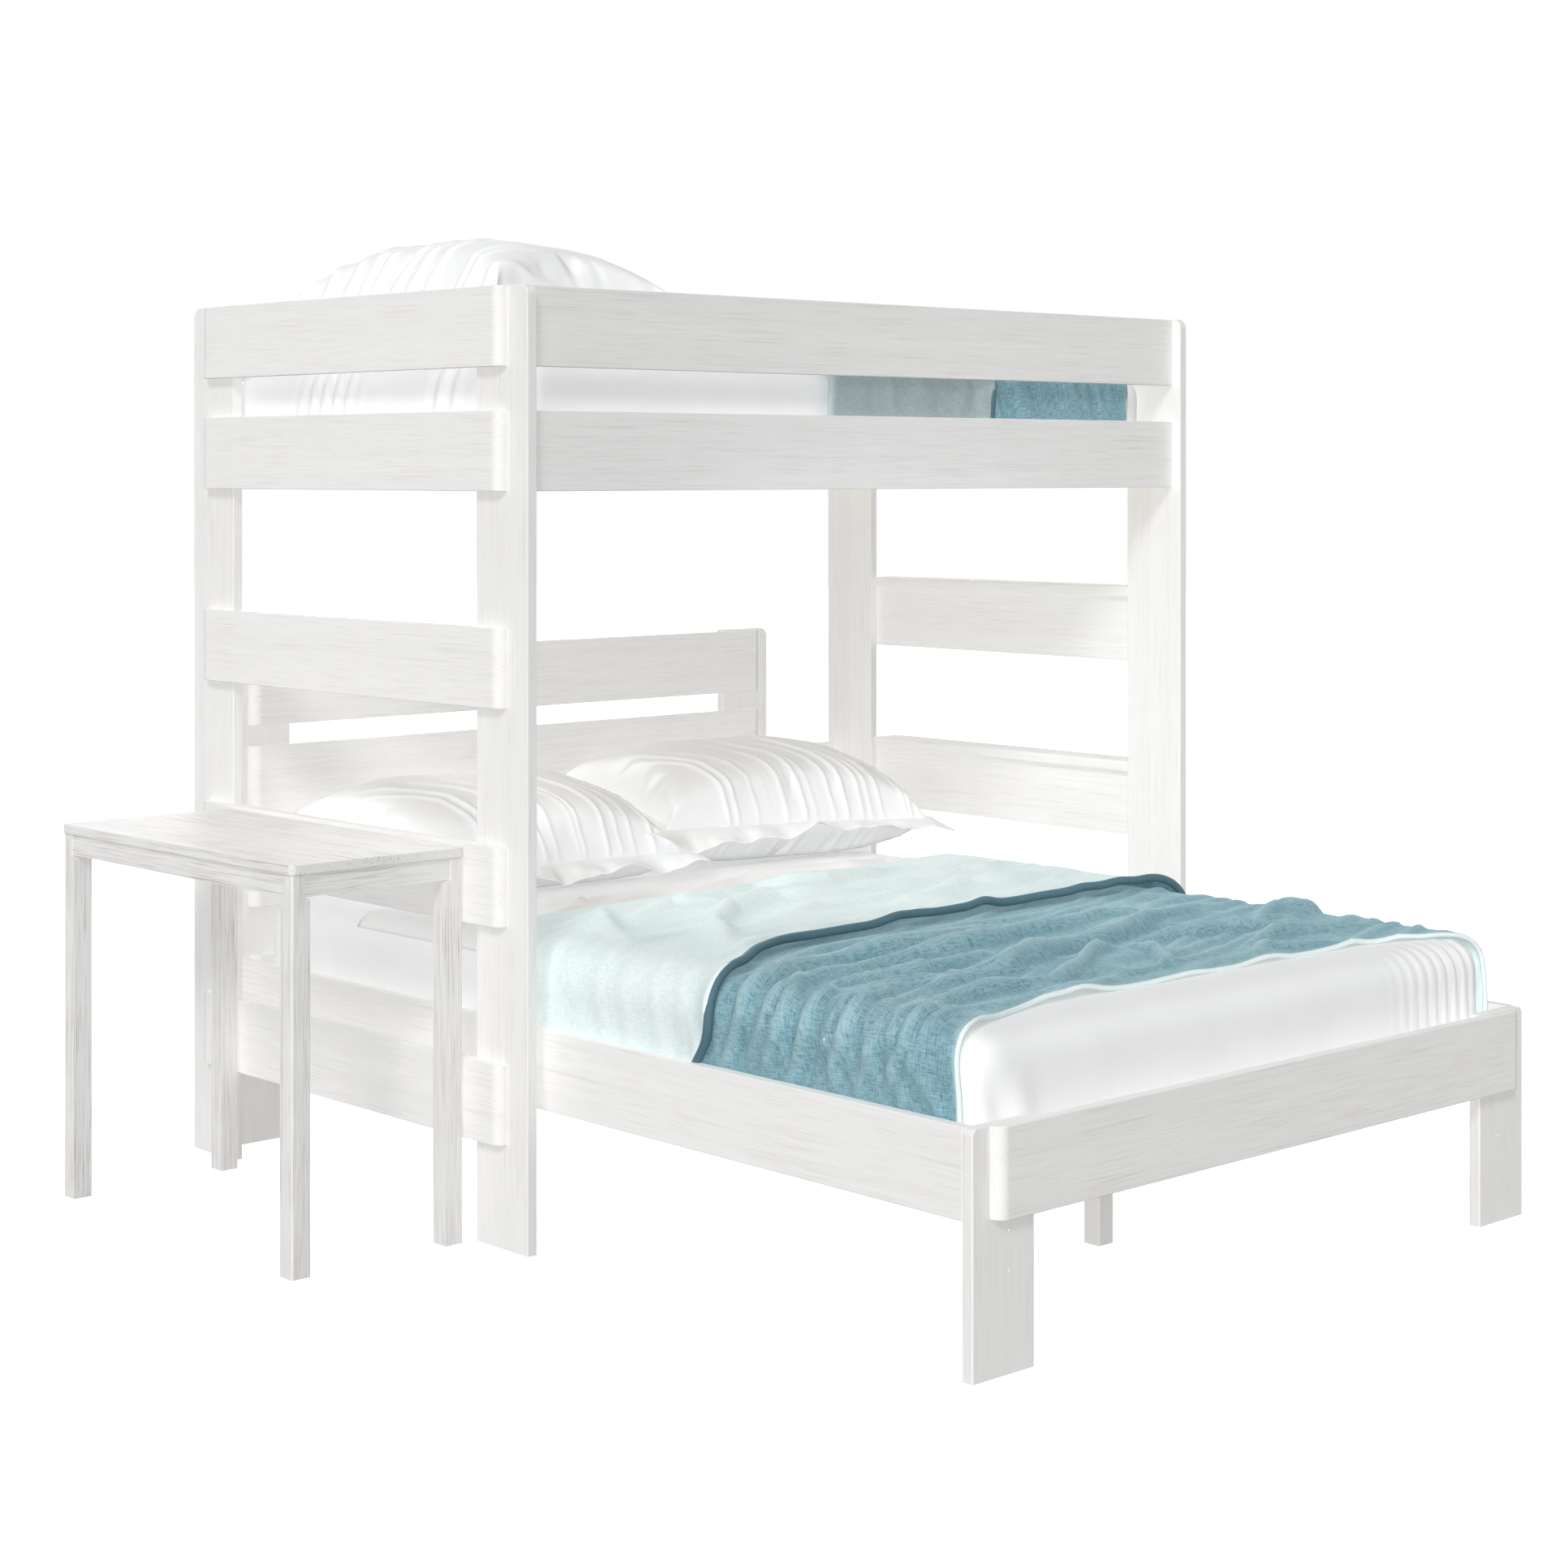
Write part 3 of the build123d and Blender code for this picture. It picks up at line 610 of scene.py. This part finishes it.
class Folded:
    """A blanket over a bed, with its head part folded back. foot, fold and free give the
    lengthwise places of its foot edge, its fold and its free edge at a place across the bed."""

    cell = 0.009                        # the grid's step
    turn_radius, turn_rows = 0.010, 6   # the fold at the head end
    gap = 0.005                         # between the mattress and the cloth
    curl = 0.009                        # how far the free edge stands up
    thickness = 0.004
    frames, cap, sink, growth = 12, 0.005, 0.001, 0.012
    hem_radius, hem_sink = 0.0085, 0.0025
    foot_hem_radius, foot_hem_sink = 0.005, 0.0015

    def __init__(self, bed, name, span, foot, fold, free, creases, flap_creases, seed):
        self.bed, self.name, self.seed = bed, name, seed
        self.foot, self.fold, self.free = foot, fold, free
        self.span = span
        self.columns = round((span[1] - span[0]) / self.cell)
        middle = 0.0
        base, flap = fold(middle) - foot(middle), fold(middle) - free(middle)
        self.base_rows, self.flap_rows = round(base / self.cell), round(flap / self.cell)
        self.rows = self.base_rows + self.turn_rows + self.flap_rows
        self.size = (span[1] - span[0], base + flap + math.pi * self.turn_radius)
        # The lift of the part that lies on the bed, and of the part folded back over it.
        self.lift = self.lifts(creases, False)
        self.flap_lift = self.lifts(flap_creases, True)

    def lifts(self, creases, flap):
        """How far each point of one part is lifted by its creases and by small uneven folds."""
        rows = self.flap_rows if flap else self.base_rows
        a = np.linspace(*self.span, self.columns + 1)
        grid_a = np.tile(a, (rows + 1, 1))
        start = np.array([self.fold(x) if flap else self.foot(x) for x in a])
        end = np.array([self.free(x) if flap else self.fold(x) for x in a])
        grid_y = start + (end - start) * np.linspace(0, 1, rows + 1)[:, None]
        px, py = waver(grid_a, grid_y, self.seed)
        lift = np.zeros(grid_a.shape)
        for line, height, width in creases:
            lift += ridge(px, py, line, height, width)
        strength = 0.45 if flap else 1.0
        for at in np.ndindex(lift.shape):
            x, y = px[at], py[at]
            across, along = y - 0.25 * x, x + 0.25 * y
            folds = 1 - abs(fbm(across * 4, along, 0.0, 0.24, self.seed + 9))
            lift[at] += strength * 0.009 * max(0.0, folds - 0.62) / 0.38
            lift[at] += 0.0045 * fbm(x, y, 0.0, 0.17, self.seed)
        if flap:
            half = self.bed.half
            return lift * (1 - 0.8 * smooth(np.abs(grid_a), half - 0.16, half - 0.04))
        free = np.array([self.free(x) for x in a])
        return lift * (0.25 + 0.75 * smooth(free + 0.08 - grid_y, 0, 0.06))

    def calm(self, a):
        """1 on top of the bed, and less down the sides, where the cloth is held."""
        flat = self.bed.half - self.bed.edge
        return 1 - 0.7 * float(smooth(abs(a) - flat - self.bed.edge * 1.6, 0.03, 0.11))

    def spot(self, i, j):
        """One point's places across and along, its way out from the bed, and its lift."""
        a = self.span[0] + (self.span[1] - self.span[0]) * i / self.columns
        calm = self.calm(a)
        step = 2 * self.turn_radius
        foot, fold, free = self.foot(a), self.fold(a), self.free(a)
        if j <= self.base_rows:
            along = foot + (fold - foot) * j / self.base_rows
            ease = 1 - float(smooth(along, fold - 0.12, fold - 0.01))
            return a, along, 0.0, max(0.0, self.lift[j, i]) * calm * ease
        flap_j = j - self.base_rows - self.turn_rows
        if flap_j <= 0:
            angle = math.pi * (j - self.base_rows) / self.turn_rows
            return (a, fold + 1.4 * self.turn_radius * math.sin(angle),
                    self.turn_radius * (1 - math.cos(angle)), 0.0)
        along = fold + (free - fold) * flap_j / self.flap_rows
        ease = float(smooth(fold - along, 0.01, 0.12))
        under = max(0.0, self.lift_under(a, along, i))
        curl = self.curl * float(smooth(free - along, -0.06, -0.005)) * (0.4 + 0.6 * calm)
        return a, along, step, (under + max(-0.003, self.flap_lift[flap_j, i])) * calm * ease + curl

    def lift_under(self, a, along, i):
        """The lift of the part that lies under a point of the part folded back."""
        foot, fold = self.foot(a), self.fold(a)
        j = (along - foot) / (fold - foot) * self.base_rows
        j = min(self.base_rows, max(0, round(j)))
        return self.lift[j, i]

    def place(self, i, j, more=0.0):
        a, along, out, lift = self.spot(i, j)
        drop_gap = self.gap * 0.7 + out * 0.55
        return self.bed.over(a, along, self.gap + out, drop_gap, lift + more)

    def build(self, outside, inside, hem_material):
        mesh = cloth_mesh(self.name, self.columns, self.rows, self.place, self.size)
        obj = add_object(self.name, mesh, [outside, inside])
        grid = [(i, j) for j in range(self.rows + 1) for i in range(self.columns + 1)]
        outward = np.array([tuple((self.place(i, j, 0.001) - self.place(i, j)) * 1000)
                            for i, j in grid])
        settle(obj, outward, self.frames, self.cap, self.sink, growth=self.growth)
        co = points_of(obj).reshape(self.rows + 1, self.columns + 1, 3)
        outward = outward.reshape(co.shape)
        free_edge = even(co[-1] - self.hem_sink * outward[-1])
        foot_edge = even(co[0] - self.foot_hem_sink * outward[0])
        thicken(obj, self.thickness)
        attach(obj, self.bed.body)
        body = self.bed.body
        hems = [hem_along(self.name + "_hem", free_edge, self.hem_radius, hem_material, body),
                hem_along(self.name + "_foot_hem", foot_edge, self.foot_hem_radius, inside, body)]
        return obj, hems


def bed_blanket():
    """The lower bed's blanket. Crease places are in mm, across from the loft's left side and
    along from its front, each with a height and a width in metres."""
    mid = BED.mid - LEFT          # the bed's middle, from the loft's left side

    def foot(a):
        return FRONT - 0.872 - 0.085 * float(smooth(abs(a), 0.45, 0.85))

    def fold(a):
        return FRONT + 0.335 + 0.07 * a - 0.10 * float(smooth(-a, 0.62, 0.95))

    def free(a):
        near = float(smooth(-a, 0.40, 0.80))
        back = float(smooth(-a, 0.80, 0.92))
        return FRONT - 0.215 - 0.20 * near + 0.06 * back + 0.02 * math.sin(5 * a)

    def line(*points):
        return [(x / 1000 - mid, FRONT + y / 1000) for x, y in points]

    creases = [
        (line((138, -452), (288, -428), (470, -405), (647, -391), (930, -330)), 0.030, 0.015),
        (line((260, -505), (450, -470), (800, -432), (1300, -350)), 0.032, 0.017),
        (line((228, -560), (330, -545), (480, -560), (700, -520)), 0.024, 0.014),
        (line((250, -640), (410, -672), (640, -640), (973, -568), (1149, -505), (1507, -410)),
         0.034, 0.018),
        (line((248, -706), (500, -690), (783, -610)), 0.024, 0.015),
        (line((150, -800), (360, -765), (560, -770)), 0.022, 0.016),
        (line((537, -797), (700, -720), (908, -612)), 0.030, 0.015),
        (line((960, -620), (900, -730), (830, -827)), 0.025, 0.014),
        (line((970, -612), (1200, -640), (1420, -700)), 0.028, 0.016),
        (line((1080, -800), (1260, -740), (1500, -760)), 0.024, 0.016),
        (line((1350, -620), (1520, -560), (1640, -600)), 0.024, 0.018),
        (line((1000, -860), (1120, -820), (1300, -840)), 0.016, 0.016),
        (line((300, -850), (560, -860), (700, -815)), 0.016, 0.018),
        (line((300, -330), (520, -300), (760, -280)), 0.012, 0.020),
    ]
    # Folds pulled over the near edge, from low on the drop to some way in on the top.
    for k in range(9):
        top = -452 - 53 * k - 13 * math.sin(2.1 * k)
        reach = 170 + 80 * math.sin(1.7 * k + 0.6)
        height = 0.021 - 0.0008 * k + 0.006 * math.sin(3 * k)
        path = line((-40, top + 55), (30, top + 20), (100, top - 8),
                    (108 + 0.45 * reach, top + 6), (108 + reach, top + 45))
        creases.append((path, height, 0.0105 + 0.002 * math.sin(1.3 * k)))
    flap_creases = [
        (line((300, -230), (420, -60), (560, 60), (760, 120), (980, 110)), 0.030, 0.024),
        (line((150, -120), (260, 90), (420, 270)), 0.022, 0.026),
        (line((900, -90), (1200, 0), (1500, 10)), 0.024, 0.028),
        (line((560, 190), (800, 250), (1000, 225), (1300, 290)), 0.028, 0.024),
        (line((1150, 150), (1400, 130), (1600, 210)), 0.022, 0.028),
        (line((380, 130), (520, 190), (660, 160)), 0.022, 0.022),
        (line((620, -60), (760, 10), (940, 0)), 0.016, 0.022),
    ]
    cover = Folded(BED, "bed_blanket_cloth", (-0.905, 0.905), foot, fold, free,
                   creases, flap_creases, 2.0)
    obj, hems = cover.build(TEAL, MINT, SHADED_HEM_TEAL)
    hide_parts("bed_blanket")
    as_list(hems)


def top_sheet():
    """The flat sheet's turned-back end, between the pillows and the blanket's fold."""
    span, start, end = (-0.765, 0.84), FRONT + 0.14, FRONT + 0.68
    columns, rows = 150, 46
    creases = [
        ([(-0.72, FRONT + 0.42), (-0.50, FRONT + 0.45), (-0.30, FRONT + 0.41)], 0.016, 0.018),
        ([(-0.60, FRONT + 0.30), (-0.42, FRONT + 0.40), (-0.22, FRONT + 0.52)], 0.016, 0.013),
        ([(-0.52, FRONT + 0.30), (-0.34, FRONT + 0.38), (-0.10, FRONT + 0.46)], 0.017, 0.012),
        ([(-0.20, FRONT + 0.36), (0.05, FRONT + 0.44), (0.30, FRONT + 0.52)], 0.018, 0.017),
        ([(0.10, FRONT + 0.50), (0.34, FRONT + 0.47), (0.58, FRONT + 0.42)], 0.024, 0.040),
        ([(0.40, FRONT + 0.44), (0.60, FRONT + 0.50), (0.72, FRONT + 0.46)], 0.014, 0.018),
    ]
    across = np.tile(np.linspace(*span, columns + 1), (rows + 1, 1))
    along = np.tile(np.linspace(start, end, rows + 1)[:, None], (1, columns + 1))
    px, py = waver(across, along, 3.0)
    lift = sum(ridge(px, py, *crease) for crease in creases)
    lift *= smooth(along, FRONT + 0.30 + 0.07 * across, FRONT + 0.40 + 0.07 * across)
    lift *= 1 - smooth(along, FRONT + 0.52, FRONT + 0.58)
    lift *= 1 - smooth(np.abs(across), 0.68, 0.80)

    gap = 0.0012

    def place(i, j):
        return BED.over(across[j, i], along[j, i], gap, gap, float(lift[j, i]))

    size = (span[1] - span[0], end - start)
    mesh = cloth_mesh("top_sheet", columns, rows, place, size)
    obj = add_object("top_sheet", mesh, [SHEET_GREY, SHEET_GREY])
    thicken(obj, 0.0015)
    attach(obj, BED.body)


def loft_blanket():
    """The loft's blanket, with crease places in mm from the loft's left side and middle."""
    low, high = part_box("loft_blanket")

    def foot(a):
        return -high.x - 0.02 * math.sin(3 * a) + 0.02 * float(smooth(-a, 0.40, 0.60))

    def fold(a):
        return -(LEFT + 0.852) + 0.01 * math.sin(4 * a)

    def free(a):
        return -(LEFT + 1.340) - 0.015 * math.sin(3 * a + 1)

    def line(*points):
        return [(y / 1000, -(LEFT + x / 1000)) for x, y in points]

    creases = [
        (line((1380, -480), (1500, -200), (1480, 100)), 0.012, 0.018),
        (line((1600, -520), (1640, -250), (1780, 0)), 0.013, 0.020),
        (line((1420, 380), (1560, 200), (1760, 140)), 0.012, 0.020),
        (line((1500, 520), (1640, 400), (1800, 380)), 0.011, 0.018),
    ]
    flap_creases = [
        (line((900, -300), (1100, -200), (1280, -60)), 0.010, 0.034),
        (line((950, 300), (1150, 220), (1300, 330)), 0.010, 0.034),
    ]
    cover = Folded(LOFT, "loft_blanket_cloth", (-0.615, 0.615), foot, fold, free,
                   creases, flap_creases, 6.0)
    obj, hems = cover.build(TEAL, LOFT_MINT, SHADED_HEM_TEAL)
    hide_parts("loft_blanket")
    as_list(hems)


# ------------------------------------------------------------------ pillows

class Pillow:
    """A stuffed pillow in a cover with a flat flange: given its fullness by formula, evened out
    as cloth, pleated towards its front seam, set leaning, and pressed on what it rests on."""

    cell = 0.0095       # the cover's step
    across = 7          # steps over the flange's width

    def __init__(self, node, size, thick, flange, pleats, seed, wall=None):
        self.node, self.size, self.thick, self.wall = node, size, thick, wall
        self.flange, self.pleats, self.seed = flange, pleats, seed
        self.columns, self.rows = round(size[0] / self.cell), round(size[1] / self.cell)

    def rim(self, i, j):
        """Whether a place on the grid is on the seam."""
        return i in (0, self.columns) or j in (0, self.rows)

    def full_cut(self):
        """Two plies joined round the rim and full in the middle, and the points of the rim."""
        width, length = self.size
        points, faces, index = [], [], {}
        for side in (1, -1):
            for j in range(self.rows + 1):
                for i in range(self.columns + 1):
                    if side < 0 and self.rim(i, j):
                        index[side, i, j] = index[1, i, j]
                        continue
                    u, v = 2 * i / self.columns - 1, 2 * j / self.rows - 1
                    puff = (1 - abs(u) ** 3.2) ** 0.7 * (1 - abs(v) ** 2.8) ** 0.7
                    squeeze = 1 - 0.05 * (1 - u * u), 1 - 0.05 * (1 - v * v)
                    index[side, i, j] = len(points)
                    height = side * self.thick / 2 * puff if not self.rim(i, j) else 0.0
                    points.append((u * width / 2 * squeeze[1], v * length / 2 * squeeze[0], height))
        for side in (1, -1):
            for j in range(self.rows):
                for i in range(self.columns):
                    quad = [index[side, i, j], index[side, i + 1, j],
                            index[side, i + 1, j + 1], index[side, i, j + 1]]
                    faces.append(quad if side > 0 else quad[::-1])
        mesh = bpy.data.meshes.new(self.node)
        mesh.from_pydata(points, [], faces)
        columns, rows = self.columns, self.rows
        loop = ([(i, 0) for i in range(columns)] + [(columns, j) for j in range(rows)]
                + [(i, rows) for i in range(columns, 0, -1)] + [(0, j) for j in range(rows, 0, -1)])
        return mesh, [index[1, i, j] for i, j in loop]

    def pleat(self, obj):
        """Raises the pleats, which run from lines of places on the cover to its front seam."""
        co = points_of(obj)
        normals = np.array([v.normal for v in obj.data.vertices])
        px, py = waver(co[:, 0], co[:, 1], self.seed, 0.006, 0.10)
        lift = np.zeros(len(co))
        for line, height, width in self.pleats:
            lift += ridge(px, py, line, height, width)
        for k, (x, y, z) in enumerate(co):
            lift[k] += 0.0045 * fbm(x, y, z, 0.15, self.seed)
            lift[k] += 0.0012 * fbm(x, y, z, 0.045, self.seed)
        half = np.array(self.size) / 2
        inset = np.minimum(half[0] - np.abs(co[:, 0]), half[1] - np.abs(co[:, 1]))
        lift *= 0.25 + 0.75 * smooth(inset, 0.005, 0.045)
        lift *= 0.3 + 0.7 * smooth(normals[:, 2], -0.2, 0.2)
        set_points(obj, co + normals * lift[:, None])

    def border(self, seam):
        """The flange, two plies thick, which waves, droops and folds round the seam."""
        count, across = len(seam), self.across
        ahead = np.roll(seam, -2, axis=0) - np.roll(seam, 2, axis=0)
        ahead[:, 2] = 0
        ahead /= np.linalg.norm(ahead, axis=1)[:, None]
        out = np.column_stack([ahead[:, 1], -ahead[:, 0], np.zeros(count)])
        for _ in range(6):
            out = (np.roll(out, 1, axis=0) + 2 * out + np.roll(out, -1, axis=0)) / 4
        out /= np.linalg.norm(out, axis=1)[:, None]
        corner = 1 + 0.55 * smooth(np.abs(out[:, 0] * out[:, 1]), 0.2, 0.5)
        lap = 0.006     # how far the flange starts inside the seam
        points, faces = [], []
        for k in range(count):
            for s in range(across + 1):
                t = s / across
                width = self.flange * corner[k] + lap
                p = Vector(seam[k] - out[k] * lap) + Vector(out[k]) * width * t
                wave = (0.040 * fbm(p.x, p.y, 0, 0.11, self.seed)
                        + 0.012 * fbm(p.x, p.y, 0, 0.04, self.seed + 3))
                points.append((p.x, p.y, p.z + wave * t - 0.012 * t * t))
        for k in range(count):
            for s in range(across):
                a, b = k * (across + 1) + s, (k + 1) % count * (across + 1) + s
                faces.append((a, b, b + 1, a + 1))
        mesh = bpy.data.meshes.new("flange")
        mesh.from_pydata([tuple(p) for p in points], [], faces)
        return add_object("flange", mesh, [PILLOW_WHITE])

    def lean(self, obj, at, turn):
        """Tips and turns the pillow, puts its middle at a point, and presses it on its bed."""
        co = points_of(obj)
        tilt, roll, spin = turn
        for (p, q), angle in (((1, 2), tilt), ((0, 2), roll), ((0, 1), spin)):
            c, s = math.cos(angle), math.sin(angle)
            a, b = co[:, p].copy(), co[:, q].copy()
            co[:, p], co[:, q] = a * c - b * s, a * s + b * c
        co += np.array(at)
        rest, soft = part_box(self.node)[0].z + 0.007, 0.012
        above = co[:, 2] - rest
        co[:, 2] = rest + (above + np.sqrt(above**2 + soft**2)) / 2
        if self.wall is not None:
            before = self.wall - co[:, 1]
            co[:, 1] = self.wall - (before + np.sqrt(before**2 + soft**2)) / 2
        set_points(obj, co)

    def build(self, at, turn):
        mesh, rim = self.full_cut()
        obj = add_object(self.node + "_cover", mesh, [PILLOW_WHITE])
        inflate(obj, 4.0, 14, 0.02, shrink=-0.03, mass=0.2, bending=0.02, tension=8.0)
        seam = points_of(obj)[rim]
        subdivide(obj)
        self.pleat(obj)
        flange = self.border(seam)
        for piece in (obj, flange):
            self.lean(piece, at, turn)
        thicken(flange, 0.003)
        subdivide(flange)
        joined = bmesh.new()
        joined.from_mesh(obj.data)
        joined.from_mesh(flange.data)
        joined.to_mesh(obj.data)
        joined.free()
        bpy.data.objects.remove(flange)
        for face in obj.data.polygons:
            face.use_smooth = True
        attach(obj, self.node)
        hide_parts(self.node)


def fan(start, end, count, height, width, seed):
    """Pleats from a row of places at the back of a pillow to a row at its front seam. start
    and end are (first x, last x, y). Each is bowed, and they differ in size and spacing."""
    lines = []
    for k in range(count):
        a, b = fbm(k, 0.3, seed, 1.3), fbm(k, 5.1, seed, 1.3)
        t = (k + 0.8 * a) / (count - 1)
        x0, x1 = start[0] + (start[1] - start[0]) * t, end[0] + (end[1] - end[0]) * t
        y0 = start[2] + 0.09 * b
        middle = ((x0 + x1) / 2 + 0.2 * (x1 - x0), (y0 + end[2]) / 2)
        path = [(x0, y0), middle, (x1, end[2])]
        lines.append((path, height * (0.75 + 0.9 * b), width * (1 + 0.4 * a)))
    return lines


def pillows():
    size, wall = (0.785, 0.46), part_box("head_plank_1")[0].y - 0.004
    pleats = fan((-0.34, 0.24, 0.09), (-0.16, 0.36, -0.235), 13, 0.0072, 0.0055, 5.0)
    cover = Pillow("bed_pillow_left", size, 0.215, 0.055, pleats, 5.0, wall)
    cover.build((LEFT + 0.5525, FRONT + 0.795, 0.650), [math.radians(v) for v in (12, -1, 1)])
    pleats = fan((-0.34, 0.24, 0.07), (-0.20, 0.36, -0.235), 14, 0.0072, 0.0055, 11.0)
    cover = Pillow("bed_pillow_right", size, 0.22, 0.055, pleats, 11.0, wall)
    cover.build((LEFT + 1.315, FRONT + 0.780, 0.676), [math.radians(v) for v in (11, -2, -5)])
    low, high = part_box("loft_pillow")
    pleats = fan((-0.32, 0.26, 0.05), (-0.30, 0.24, 0.28), 10, 0.009, 0.007, 17.0)
    cover = Pillow("loft_pillow", (0.71, 0.53), 0.225, 0.03, pleats, 17.0)
    middle = (low + high) / 2
    cover.build((middle.x, middle.y, low.z + 0.110), [math.radians(v) for v in (3, 0, 90)])


# ------------------------------------------------------------------ stage

def stage():
    """A pale floor, a white backdrop all round that only the camera sees, and dim even air."""
    far = 30.0
    plane = bpy.data.meshes.new("floor")
    corners = [(-far, -far, 0), (far, -far, 0), (far, far, 0), (-far, far, 0)]
    plane.from_pydata(corners, [], [(0, 1, 2, 3)])
    n = Nodes("floor", 0.9)
    n.glow(FLOOR_GLOW)
    floor = add_object("floor", plane, [n.finish((0.82, 0.82, 0.82))])
    floor.location.z = CAD_LOW.z
    mesh = bpy.data.meshes.new("backdrop")
    ball = bmesh.new()
    bmesh.ops.create_icosphere(ball, subdivisions=3, radius=far)
    ball.to_mesh(mesh)
    ball.free()
    n = Nodes("backdrop", 1.0)
    n.glow(1.0)
    backdrop = add_object("backdrop", mesh, [n.finish((0.0, 0.0, 0.0))])
    for obj in (floor, backdrop):
        obj.visible_diffuse = False
        obj.visible_glossy = False
        obj.visible_shadow = False
    world = bpy.data.worlds.new("studio")
    world.use_nodes = True
    air = world.node_tree.nodes["Background"].inputs
    air["Color"].default_value = (1, 1, 1, 1)
    air["Strength"].default_value = AIR
    bpy.context.scene.world = world
    bpy.context.scene.view_settings.view_transform = "Standard"


def aim(name, light, way):
    """Puts a light in the scene, turned to shine along way."""
    obj = bpy.data.objects.new(name, light)
    bpy.context.scene.collection.objects.link(obj)
    obj.rotation_euler = Vector(way).to_track_quat("-Z", "Y").to_euler()
    return obj


def lamp(name, way, strength, softness, shadow=True):
    """A far soft light that shines along way."""
    light = bpy.data.lights.new(name, "SUN")
    light.energy, light.angle = strength, math.radians(softness)
    light.use_shadow = shadow
    aim(name, light, way)


def panel(name, at, way, size, power):
    """A flat soft light, unseen, that casts no shadow."""
    light = bpy.data.lights.new(name, "AREA")
    light.shape, light.size, light.size_y, light.energy = "RECTANGLE", *size, power
    light.use_shadow = False
    obj = aim(name, light, way)
    obj.location = at
    obj.visible_camera = False


def lights():
    """One sun that casts shadows, and three lights that only lift them."""
    lamp("key", (0.66, 0.46, -0.60), KEY, 14)
    lamp("fill", (0.76, 0.545, -0.33), FILL, 30, shadow=False)
    lamp("back", (-0.55, -0.75, -0.30), BACK, 30, shadow=False)
    panel("inner", (LEFT + 0.75, FRONT - 0.25, 1.02), (0.45, 0.88, -0.05), (1.3, 0.5), INNER)


def camera():
    """Level, with upright lines kept upright by the lens's shift."""
    eye_height, heading = 1.4475, -40.261
    data = bpy.data.cameras.new("camera")
    data.lens, data.sensor_width = 65.30, 36.0
    data.shift_x, data.shift_y = 0.1511, -0.2003
    cam = bpy.data.objects.new("camera", data)
    bpy.context.scene.collection.objects.link(cam)
    cam.location = (LEFT - 3.3517, FRONT - 4.0127, eye_height)
    cam.rotation_euler = (math.radians(90), 0, math.radians(heading))
    bpy.context.scene.camera = cam


dress_boards()
mattress("bed_mattress", BED, bed_creases)
mattress("loft_mattress", LOFT, loft_creases)
bed_blanket()
top_sheet()
loft_blanket()
pillows()
stage()
lights()
camera()
